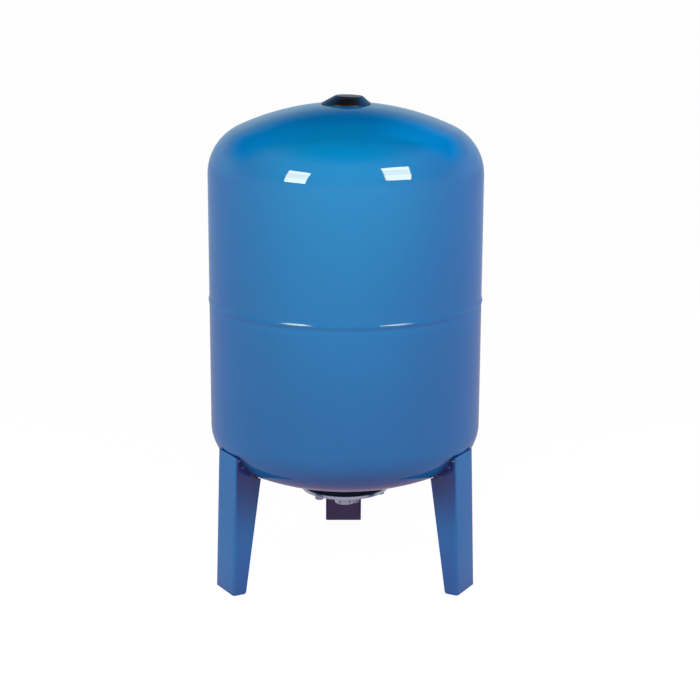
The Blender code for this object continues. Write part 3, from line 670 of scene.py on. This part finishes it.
# Flange bolts and washers: six M8 hexagon bolts, screwed up into the neck ring through a plain
# washer each. They are zinc plated like the flange, but duller, with a blue tinge.
BOLT_FLATS = 0.013
BOLT_SIDES = 48
BOLT_END_CHAMFER = 0.0008
HEAD_CHAMFER_SHARE = 0.95
WASHER_RADIUS = 0.008
WASHER_ROUND = 0.0003
bolt_low, bolt_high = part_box("flange_bolt_1")
washer_low, washer_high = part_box("flange_washer_1")
head_top = washer_low.z - FIT_GAP


def ring_copies_tree():
    """Sets turned copies of a piece round the Z axis. The first angle counts from the front."""
    tree, given, result = open_shape_tree("ring_copies", ("First Angle", "Spacing", "Radius"),
                                          counts=("Count",))
    angle = calc(tree, "ADD", product(tree, made(tree, "GeometryNodeInputIndex"), given["Spacing"]),
                 given["First Angle"])
    place = made(tree, "ShaderNodeCombineXYZ", {
        "X": product(tree, given["Radius"], calc(tree, "SINE", angle)),
        "Y": product(tree, given["Radius"], -1.0, calc(tree, "COSINE", angle))})
    dots = made(tree, "GeometryNodePoints", {"Count": given["Count"], "Position": place})
    copies = made(tree, "GeometryNodeInstanceOnPoints", {
        "Points": dots, "Instance": given["Geometry"],
        "Rotation": made(tree, "ShaderNodeCombineXYZ", {"Z": angle})})
    return close_shape_tree(tree, copies, given, result)


RING_COPIES = ring_copies_tree()


def hexagon_radius(angle):
    """Radius of the bolt head's hexagon at an angle."""
    from_flat = (angle + pi / 6) % (pi / 3) - pi / 6
    return BOLT_FLATS / 2 / cos(from_flat)


def bolt_mesh():
    """One bolt about the Z axis, its head chamfered round like a turned hexagon bar."""
    chamfer_start = BOLT_FLATS / 2 * HEAD_CHAMFER_SHARE
    outlines = []
    for side in range(BOLT_SIDES):
        angle = 2 * pi * side / BOLT_SIDES
        edge = hexagon_radius(angle)
        bevel = (edge - chamfer_start) * tan(pi / 6)
        outline = ((chamfer_start, bolt_low.z), (edge, bolt_low.z + bevel), (edge, head_top),
                   (BOLT_RADIUS, head_top), (BOLT_RADIUS, bolt_high.z - BOLT_END_CHAMFER),
                   (BOLT_RADIUS - BOLT_END_CHAMFER, bolt_high.z))
        outlines.append([(radius * cos(angle), radius * sin(angle), height)
                         for radius, height in outline])
    rows = list(zip(*outlines))
    last = len(rows) - 1
    faces = [tuple(range(BOLT_SIDES)), tuple(range(last * BOLT_SIDES, len(rows) * BOLT_SIDES))]
    for row in range(last):
        for side in range(BOLT_SIDES):
            low, following = row * BOLT_SIDES, (side + 1) % BOLT_SIDES
            faces.append((low + side, low + following, low + BOLT_SIDES + following,
                          low + BOLT_SIDES + side))
    return [point for points in rows for point in points], faces


bolt_zinc = make_finish("bolt_zinc", ((0.62, 0.74, 0.86, 1.0), (0.42, 0.50, 0.60, 1.0)),
                        clouds=180.0, grain=900.0, rough=(0.24, 0.42), bump=0.00004, Metallic=1.0)


def set_round(draft, node, sharp_angle):
    """Sets six copies of a draft on the bolt circle and keeps them."""
    add_tree(draft, RING_COPIES, {
        "Count": BOLT_COUNT, "First Angle": radians(BOLT_FIRST_ANGLE),
        "Spacing": 2 * pi / BOLT_COUNT, "Radius": bolt_circle, "Finish": bolt_zinc})
    nodes = [f"{node}_{index + 1}" for index in range(BOLT_COUNT)]
    keep_piece(draft, nodes, sharp_angle)


set_round(start_piece("hexagon_bolts", *bolt_mesh()), "flange_bolt", 25.0)

washer_hole = BOLT_RADIUS + FIT_GAP
washer_section = [(washer_hole, washer_low.z), (WASHER_RADIUS - WASHER_ROUND, washer_low.z),
                  (WASHER_RADIUS, washer_low.z + WASHER_ROUND),
                  (WASHER_RADIUS, washer_high.z - WASHER_ROUND),
                  (WASHER_RADIUS - WASHER_ROUND, washer_high.z), (washer_hole, washer_high.z),
                  (washer_hole, washer_low.z)]
set_round(start_turned("bolt_washers", washer_section, BOLT_SIDES, bolt_zinc), "flange_washer", 32.0)


# Legs: channels folded from one sheet each, shallow at the foot and deep at the top, where they are
# cut to the dish. They are sprayed with the tank. Their inward faces take a dark violet painted shade,
# fading in up the front legs and over all of the rear leg. The rear leg's flanges are cut back at a
# slant at the foot, so that it stands on its web.
FRONT_LEGS_START = radians(300.0)
REAR_LEG_ANGLE = radians(180.0)
REAR_FOOT_SLANT = 0.42
LEG_SHEET = 0.0025
# Painted shade: the dark violet on the legs' inward faces stands for the shade under the tank.
LEG_SHADE_COLOR = (0.014, 0.034, 0.270, 1.0)
LEG_INWARD_FACING = (0.95, 0.55)
LEG_FOOT_RADIUS = tank_radius + 0.006
LEG_FOOT_DEPTH = 0.023
LEG_INNER_BEND = 0.002
LEG_TOE_RADIUS = 0.004
LEG_DISH_GAP = 0.001
LEG_TOP_DROP = 0.0078
LEG_EDGE_ROUND = 0.0004
leg_top = dish.height(LEG_TOP_RADIUS) - LEG_TOP_DROP


def channel_line(share, inset, bend_angle, wall):
    """A point of the channel's section, (radial, sideways): on a flange when bend_angle is None,
    at its inset from the free edge, or else on the bend. wall is 0 outside and 1 inside."""
    web = LEG_FOOT_RADIUS + (LEG_TOP_RADIUS - LEG_FOOT_RADIUS) * share
    depth = LEG_FOOT_DEPTH + (LEG_TOP_DEPTH - LEG_FOOT_DEPTH) * share
    half = LEG_WIDTH / 2
    if bend_angle is None:
        return web - depth + inset, half - LEG_SHEET * wall
    bend = LEG_INNER_BEND + LEG_SHEET
    reach = bend - LEG_SHEET * wall
    return (web - bend + reach * cos(radians(bend_angle)),
            half - bend + reach * sin(radians(bend_angle)))


def leg_cut_share(line, foot_share):
    """How far up the leg a line of the channel runs before it meets the cut along the dish."""
    low, high = foot_share, 1.0
    for _ in range(40):
        middle = (low + high) / 2
        radial, sideways = channel_line(middle, *line)
        if middle * leg_top > dish.height(hypot(radial, sideways), LEG_DISH_GAP):
            high = middle
        else:
            low = middle
    return high


def folded_leg_mesh(foot_slant):
    """The channel as straight lines from the foot to the cut, standing at the front, at -Y."""
    toe_insets = [LEG_TOE_RADIUS * (1 - cos(radians(angle))) for angle in range(0, 91, 15)]
    lines = [(inset, None) for inset in toe_insets] + [(0.0, angle) for angle in range(90, -1, -10)]
    sides = []
    for wall in (0, 1):
        rows = []
        for inset, bend_angle in lines:
            foot = 0.0
            if bend_angle is None:
                foot = LEG_TOE_RADIUS - sqrt(LEG_TOE_RADIUS**2 - (LEG_TOE_RADIUS - inset)**2)
            foot += foot_slant * (LEG_FOOT_RADIUS - channel_line(0.0, inset, bend_angle, wall)[0])
            foot_share = foot / leg_top
            top_share = leg_cut_share((inset, bend_angle, wall), foot_share)
            rows.append([(share * leg_top, *channel_line(share, inset, bend_angle, wall))
                         for share in (foot_share, top_share)])
        mirrored = [[(height, radial, -sideways) for height, radial, sideways in row]
                    for row in reversed(rows)]
        sides.append(rows + mirrored)
    outside, inside = sides
    loop = outside + list(reversed(inside))
    points = [(sideways, -radial, height) for row in loop for height, radial, sideways in row]
    count = len(loop)
    faces = []
    for index in range(count):
        following = (index + 1) % count
        faces.append((2 * index, 2 * following, 2 * following + 1, 2 * index + 1))
    for index in range(count // 2 - 1):
        across = count - 1 - index
        for end in (0, 1):
            faces.append((2 * index + end, 2 * index + 2 + end, 2 * across - 2 + end, 2 * across + end))
    return points, faces


def inward_faces_share(tree, given):
    """Painted shade mask: 1 on the faces of a leg that don't look outwards, fading out down the leg."""
    place = add_node(tree, "ShaderNodeTexCoord").outputs["Object"]
    outward = vector_calc(tree, "NORMALIZE", level_part(tree, place))
    normal = add_node(tree, "ShaderNodeNewGeometry").outputs["Normal"]
    facing = vector_calc(tree, "DOT_PRODUCT", outward, normal, output="Value")
    return product(tree, eased(tree, facing, *LEG_INWARD_FACING),
                   eased(tree, xyz(tree, place)["Z"], given["Unshaded Below"], given["Shaded Above"]))


SHADED_LEG_FINISH = painted_shade_finish_group("painted_shade_channel", inward_faces_share, "Unshaded Below", "Shaded Above")


def fold_legs(name, foot_slant, count, first_angle, shade_heights, nodes):
    enamel = make_enamel(name + "_enamel", SHADED_LEG_FINISH, {
        "Painted Shade Color": LEG_SHADE_COLOR, "Unshaded Below": shade_heights[0],
        "Shaded Above": shade_heights[1]})
    legs = start_piece(name, *folded_leg_mesh(foot_slant))
    edges = legs.modifiers.new("rounded_edges", "BEVEL")
    edges.width = LEG_EDGE_ROUND
    edges.segments = 2
    edges.angle_limit = radians(50.0)
    add_tree(legs, RING_COPIES, {"Count": count, "First Angle": first_angle, "Spacing": LEG_SPACING,
                                 "Radius": 0.0, "Finish": enamel})
    keep_piece(legs, nodes, sharp_angle=40.0)


# The front legs' painted shade fades in from 0.08 m to 0.21 m up; the rear leg's covers all of it.
fold_legs("front_legs", 0.0, 2, FRONT_LEGS_START, (0.08, 0.21),
          ["leg_front_left", "leg_front_right"])
fold_legs("rear_leg", REAR_FOOT_SLANT, 1, REAR_LEG_ANGLE, (-0.15, 0.0), ["leg_rear"])


# Tack welds: short blobs of weld that hold each leg's cut edges to the dish, three on each flange.
# They are lumpy and unequal, and the enamel rounds them over, with the dish's painted shade on it.
TACK_RADIUS = 0.0036
TACK_DISTANCES = (0.2190, 0.2120, 0.1950)
TACK_LEAST = (0.8, 0.8, 0.55)
TACK_MOST = (1.1, 1.5, 0.9)
TACK_LUMPS = 0.0016
TACK_LUMP_SCALE = 260.0
tack_side = (LEG_WIDTH - LEG_SHEET) / 2


def weld_blobs_tree():
    """A lumpy blob at each point, no two alike."""
    tree, given, result = open_shape_tree("weld_blobs", ("Radius", "Lumps", "Lump Scale"),
                                          counts=("Seed",))
    blob = made(tree, "GeometryNodeMeshIcoSphere", {"Radius": given["Radius"], "Subdivisions": 4})
    size = made(tree, "FunctionNodeRandomValue", {
        0: TACK_LEAST, 1: TACK_MOST, "Seed": given["Seed"]}, data_type="FLOAT_VECTOR")
    placed = made(tree, "GeometryNodeInstanceOnPoints", {
        "Points": given["Geometry"], "Instance": blob, "Scale": size})
    whole = made(tree, "GeometryNodeRealizeInstances", {"Geometry": placed})
    spot = made(tree, "GeometryNodeInputPosition")
    lift = product(tree, swing(tree, {
        "Vector": spot, "Scale": given["Lump Scale"], "Detail": 1.0}), given["Lumps"])
    lumpy = made(tree, "GeometryNodeSetPosition", {
        "Geometry": whole, "Offset": scaled(tree, made(tree, "GeometryNodeInputNormal"), lift)})
    return close_shape_tree(tree, lumpy, given, result)


tack_points = []
for distance in TACK_DISTANCES:
    radial = sqrt(distance**2 - tack_side**2)
    height = min(dish.height(distance) - TACK_RADIUS / 2, leg_top)
    tack_points += [(side * tack_side, -radial, height) for side in (-1, 1)]
tack_welds = start_piece("leg_tack_welds", tack_points)
add_tree(tack_welds, weld_blobs_tree(), {
    "Radius": TACK_RADIUS, "Lumps": TACK_LUMPS, "Lump Scale": TACK_LUMP_SCALE, "Seed": 4,
    "Finish": dish_enamel_painted_shade})
add_tree(tack_welds, RING_COPIES, {"Count": 3, "First Angle": FRONT_LEGS_START,
                                   "Spacing": LEG_SPACING, "Radius": 0.0, "Finish": dish_enamel_painted_shade})
keep_piece(tack_welds, ["leg_front_left", "leg_front_right", "leg_rear"],
           sharp_angle=80.0)

# Air valve: a brass car-tyre type stem with its core and nut, a plated washer, a rubber gasket and
# a plastic dust cap. It stands in the pocket, hidden until the cover is off, as the CAD has it.
valve_brass = make_finish("valve_brass", ((0.78, 0.56, 0.25, 1.0), (0.66, 0.46, 0.20, 1.0)),
                          clouds=150.0, grain=1200.0, rough=(0.20, 0.36), bump=0.00002, Metallic=1.0)
black_plastic = make_finish(
    "black_plastic", ((0.0055, 0.0050, 0.0052, 1.0), (0.0085, 0.0078, 0.0080, 1.0)),
    clouds=40.0, grain=1500.0, rough=(0.26, 0.36), bump=0.00003, Specular_IOR_Level=0.8, IOR=1.65,
    Specular_Tint=(1.0, 0.92, 0.86, 1.0))
valve_finishes = {"valve_stem": valve_brass, "valve_core": valve_brass, "valve_nut": valve_brass,
                  "valve_washer": bolt_zinc, "valve_gasket": black_rubber,
                  "valve_dust_cap": black_plastic}
for node, finish in valve_finishes.items():
    for material_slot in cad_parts[node].material_slots:
        material_slot.material = finish


# Valve cover: a low black cap moulded in one piece, a flat cone with a small flat top that sits a
# little to one side and tilts a little. The plug ring under it snaps into the pocket.
COVER_SIDES = 128
COVER_RIM = 0.0014
COVER_RIM_ROUND = 0.0004
COVER_WALL = 0.002
COVER_PLUG_WALL = 0.0018
COVER_PLUG_DEPTH = 0.009
COVER_FLANK_WIDTH = 0.0186
COVER_SHOULDER = 0.003
COVER_TOP_SHIFT = 0.005
COVER_TOP_TILT = 0.03
cover_radius, _, cover_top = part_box("valve_cover")[1]
cover_base = dome.height(cover_radius) + FIT_GAP
rim_top = cover_base + COVER_RIM
shoulder_centre = (cover_radius - COVER_FLANK_WIDTH, cover_top - COVER_SHOULDER)
plug_outer = POCKET_RADIUS - FIT_GAP
plug_inner = plug_outer - COVER_PLUG_WALL
plug_end = dome.height(POCKET_RADIUS) - COVER_PLUG_DEPTH
inner_rim = cover_radius - COVER_WALL
shoulder_start = arc(shoulder_centre, COVER_SHOULDER, 45, 90, 8)
flank_slope = (shoulder_start[0][1] - rim_top) / (cover_radius - shoulder_start[0][0])
cover_section = [(0.0, cover_top - COVER_WALL), (plug_inner, cover_top - COVER_WALL),
                 (plug_inner, plug_end), (plug_outer, plug_end),
                 (plug_outer, cover_base + (inner_rim - plug_outer) * flank_slope),
                 (inner_rim, cover_base)]
rim_centre = cover_radius - COVER_RIM_ROUND
cover_section += arc((rim_centre, cover_base + COVER_RIM_ROUND), COVER_RIM_ROUND, -90, 0, 4)
cover_section += arc((rim_centre, rim_top - COVER_RIM_ROUND), COVER_RIM_ROUND, 0, 60, 4)
cover_section += straight(cover_section[-1], shoulder_start[0], 6)
cover_section += shoulder_start + [(0.0, cover_top)]
valve_cover = start_turned("snap_in_cover", cover_section, COVER_SIDES, black_plastic)
keep_piece(valve_cover, ["valve_cover"])
for vertex in valve_cover.data.vertices:
    rise = max(0.0, vertex.co.z - rim_top) / (cover_top - rim_top)
    vertex.co.z -= COVER_TOP_TILT * vertex.co.x * rise
    vertex.co.x += COVER_TOP_SHIFT * rise


# Studio floor: a wide pale floor. The camera sees it white, with the tank's soft shadow on it. What
# it throws back is tinted: dull in mirrored rays, and in soft light magenta before the tank, dark
# blue round it and blue green in a ring beside it.
FLOOR_RADIUS = 40.0
FLOOR_SIDES = 64
FLOOR_MIRRORED_UNDER = (0.42, 0.27, 0.32, 1.0)
FLOOR_MIRRORED_NEAR = (0.38, 0.35, 0.42, 1.0)
FLOOR_MIRRORED_FAR = (0.36, 0.45, 0.56, 1.0)
FLOOR_LIGHT_FRONT = (0.26, 0.03, 0.22, 1.0)
FLOOR_LIGHT_ROUND = (0.01, 0.05, 0.15, 1.0)
FLOOR_LIGHT_BESIDE = (0.03, 0.66, 0.64, 1.0)
floor_points = [(x, y, 0.0) for x, y in arc((0.0, 0.0), FLOOR_RADIUS, 0, 360, FLOOR_SIDES)[:-1]]
studio_floor = start_piece("studio_floor", floor_points, [tuple(range(FLOOR_SIDES))])
floor_paint = bpy.data.materials.new("white_floor")
floor_paint.use_nodes = True
paint = floor_paint.node_tree
paint.nodes.clear()
path = add_node(paint, "ShaderNodeLightPath").outputs
ground = add_node(paint, "ShaderNodeNewGeometry").outputs
distance = vector_calc(paint, "LENGTH", ground["Position"], output="Value")
from_front = vector_calc(paint, "DISTANCE", ground["Position"], (0.0, -0.22, 0.0), output="Value")
from_side = calc(paint, "ABSOLUTE", xyz(paint, ground["Position"])["X"])
open_floor = mix_colour(paint, eased(paint, distance, 0.8, 3.5), FLOOR_MIRRORED_NEAR, FLOOR_MIRRORED_FAR)
floor_shine = mix_colour(paint, eased(paint, distance, 0.15, 0.45), FLOOR_MIRRORED_UNDER, open_floor)
ring = calc(paint, "SUBTRACT", eased(paint, distance, 0.20, 0.28), eased(paint, distance, 0.7, 1.1))
beside = product(paint, eased(paint, from_side, 0.12, 0.22), ring)
outer_light = mix_colour(paint, beside, FLOOR_LIGHT_ROUND, FLOOR_LIGHT_BESIDE)
floor_light = mix_colour(paint, eased(paint, from_front, 0.10, 0.26), FLOOR_LIGHT_FRONT, outer_light)
bounce = made(paint, "ShaderNodeEmission", {"Color": floor_light})
shine = made(paint, "ShaderNodeEmission", {"Color": floor_shine})
white = made(paint, "ShaderNodeEmission", {"Color": (1.0, 1.0, 1.0, 1.0), "Strength": 0.97})
faint = made(paint, "ShaderNodeBsdfDiffuse", {"Color": (0.15, 0.15, 0.15, 1.0)})
clear = made(paint, "ShaderNodeBsdfTransparent")
seen = made(paint, "ShaderNodeAddShader", {0: white, 1: faint})
mirrored = calc(paint, "MAXIMUM", path["Is Glossy Ray"], path["Is Transmission Ray"])
unseen = made(paint, "ShaderNodeMixShader", {0: mirrored, 1: bounce, 2: shine})
top_side = made(paint, "ShaderNodeMixShader", {0: path["Is Camera Ray"], 1: unseen, 2: seen})
both_sides = made(paint, "ShaderNodeMixShader", {0: ground["Backfacing"], 1: top_side, 2: clear})
add_node(paint, "ShaderNodeOutputMaterial", {"Surface": both_sides})
studio_floor.data.materials.append(floor_paint)


# Studio room: white to the camera. Its light comes from behind as a bright rim and from both sides
# in violet; mirrored in the gloss it has a pale low wall, blue walls behind and a dim front.
RIM_LIGHT = (1.0, 0.86, 1.0)
SIDE_LIGHT = (0.30, 0.25, 0.62)
FRONT_HIGH, FRONT_LOW = (0.24, 0.21, 0.20), (0.15, 0.15, 0.27)
WALL_LOW, WALL_BEHIND = (0.385, 0.56, 0.68), (0.0, 0.04, 0.20)
WALL_RIGHT, WALL_LEFT = (0.0, 0.40, 0.95), (0.0, 0.16, 0.38)
world = bpy.data.worlds.new("white_studio")
bpy.context.scene.world = world
world.use_nodes = True
sky = world.node_tree
sky.nodes.clear()
direction = xyz(sky, add_node(sky, "ShaderNodeTexCoord").outputs["Generated"])
rays = add_node(sky, "ShaderNodeLightPath").outputs


def lowered(share, start, end):
    """A share, faded out from one height to another."""
    return product(sky, share, eased(sky, direction["Z"], end, start))


def together(first, *others):
    for other in others:
        first = vector_calc(sky, "ADD", first, other)
    return first


sideways = calc(sky, "ABSOLUTE", direction["X"])
behind = eased(sky, direction["Y"], 0.0, 0.5)
before = calc(sky, "SUBTRACT", 1.0, behind)
rim_strength = calc(sky, "ADD", product(sky, eased(sky, sideways, 0.35, 0.60), 3.6), 1.6)
rim_light = lowered(product(sky, eased(sky, direction["Y"], 0.25, 0.45), rim_strength), 0.20, 0.38)
side_light = product(sky, lowered(before, 0.25, 0.50), calc(
    sky, "SUBTRACT", eased(sky, sideways, 0.30, 0.50), eased(sky, sideways, 0.88, 0.98)))
lit_room = together(scaled(sky, RIM_LIGHT, rim_light), scaled(sky, SIDE_LIGHT, side_light))
blue_wall = lowered(product(sky, behind, eased(sky, direction["Z"], 0.28, 0.50)), 0.70, 0.84)
blue_right = product(sky, blue_wall, eased(sky, direction["X"], 0.04, 0.30))
blue_left = product(sky, blue_wall, eased(sky, direction["X"], -0.04, -0.30))
mirrored_room = together(
    scaled(sky, WALL_LOW, lowered(behind, 0.20, 0.56)), scaled(sky, WALL_RIGHT, blue_right),
    scaled(sky, WALL_LEFT, blue_left), scaled(sky, WALL_BEHIND, blue_wall),
    scaled(sky, FRONT_HIGH, lowered(before, 0.75, 1.0)),
    scaled(sky, FRONT_LOW, lowered(before, 0.0, 0.32)))
room = mix_colour(sky, rays["Is Glossy Ray"], lit_room, mirrored_room)
backdrop = mix_colour(sky, rays["Is Camera Ray"], room, (1.0, 1.0, 1.0, 1.0))
background = made(sky, "ShaderNodeBackground", {"Color": backdrop, "Strength": 1.0})
add_node(sky, "ShaderNodeOutputWorld", {"Surface": background})


# Lamps: two soft boxes before the tank, one on each side, whose reflections stand on its shoulder,
# and a diffused lamp at its front. A soft box is one lamp for its light and one for its reflection,
# which is banded by the folds of the cloth.
SHINE_COLOR = (0.87, 0.83, 0.56)
# The shine stands a little before the light, which would hide it from the same place
SHINE_LEAD = 0.02


def area_lamp(name, place, target, size, roll, power, colour):
    lamp = bpy.data.lights.new(name, "AREA")
    lamp.shape = "RECTANGLE"
    lamp.size, lamp.size_y = size
    lamp.energy = power
    lamp.color = colour
    holder = bpy.data.objects.new(name, lamp)
    aim = (Vector(target) - Vector(place)).to_track_quat("-Z", "Y").to_matrix().to_4x4()
    holder.matrix_world = Matrix.Translation(place) @ aim @ Matrix.Rotation(radians(roll), 4, "Z")
    holder.visible_camera = False
    bpy.context.scene.collection.objects.link(holder)
    return holder


def soft_box(name, place, target, size, roll, power, colour, shine_power):
    area_lamp(name + "_light", place, target, size, roll, power, colour).visible_glossy = False
    nearer = Vector(place) + (Vector(target) - Vector(place)).normalized() * SHINE_LEAD
    shine = area_lamp(name + "_shine", nearer, target, size, roll, shine_power, SHINE_COLOR)
    shine.visible_diffuse = False
    shine.data.use_nodes = True
    cloth = shine.data.node_tree
    across = xyz(cloth, add_node(cloth, "ShaderNodeNewGeometry").outputs["Parametric"])["Y"]
    folds = made(cloth, "ShaderNodeTexNoise", {"W": across, "Scale": 5.0, "Detail": 1.0},
                 noise_dimensions="1D")
    bands = made(cloth, "ShaderNodeMapRange", {
        "Value": folds, "From Min": 0.35, "From Max": 0.65, "To Min": 0.74, "To Max": 1.1})
    cloth.links.new(bands, cloth.nodes["Emission"].inputs["Strength"])


soft_box("left_soft_box", (-1.007, -1.196, 1.277), (-0.088, -0.16, 0.70), size=(0.503, 0.60),
         roll=-2.0, power=8.7, colour=(0.49, 0.49, 1.0), shine_power=8.4)
soft_box("right_soft_box", (0.986, -1.078, 1.437), (0.063, -0.16, 0.69), size=(0.60, 0.68),
         roll=-8.0, power=9.5, colour=(0.35, 0.35, 1.0), shine_power=11.4)
area_lamp("front_lamp", (0.0, -0.80, 1.05), (0.0, -0.10, 0.60), size=(0.45, 0.45), roll=0.0,
          power=4.3, colour=(1.0, 1.0, 0.43)).visible_glossy = False


# Camera: a long lens a little above the tank, looking slightly down, as in the photograph.
CAMERA_PLACE = (-0.0349, -2.8877, 1.1037)
CAMERA_TURN, CAMERA_PITCH, CAMERA_ROLL = -0.0148, -0.245, 0.0038
camera_data = bpy.data.cameras.new("camera")
camera_data.lens = 91.63
camera_data.sensor_width = 36.0
camera = bpy.data.objects.new("camera", camera_data)
camera.matrix_world = (Matrix.Translation(CAMERA_PLACE) @ Matrix.Rotation(CAMERA_TURN, 4, "Z")
                       @ Matrix.Rotation(pi / 2 + CAMERA_PITCH, 4, "X")
                       @ Matrix.Rotation(CAMERA_ROLL, 4, "Z"))
bpy.context.scene.collection.objects.link(camera)
bpy.context.scene.camera = camera
bpy.context.scene.view_settings.view_transform = "Standard"
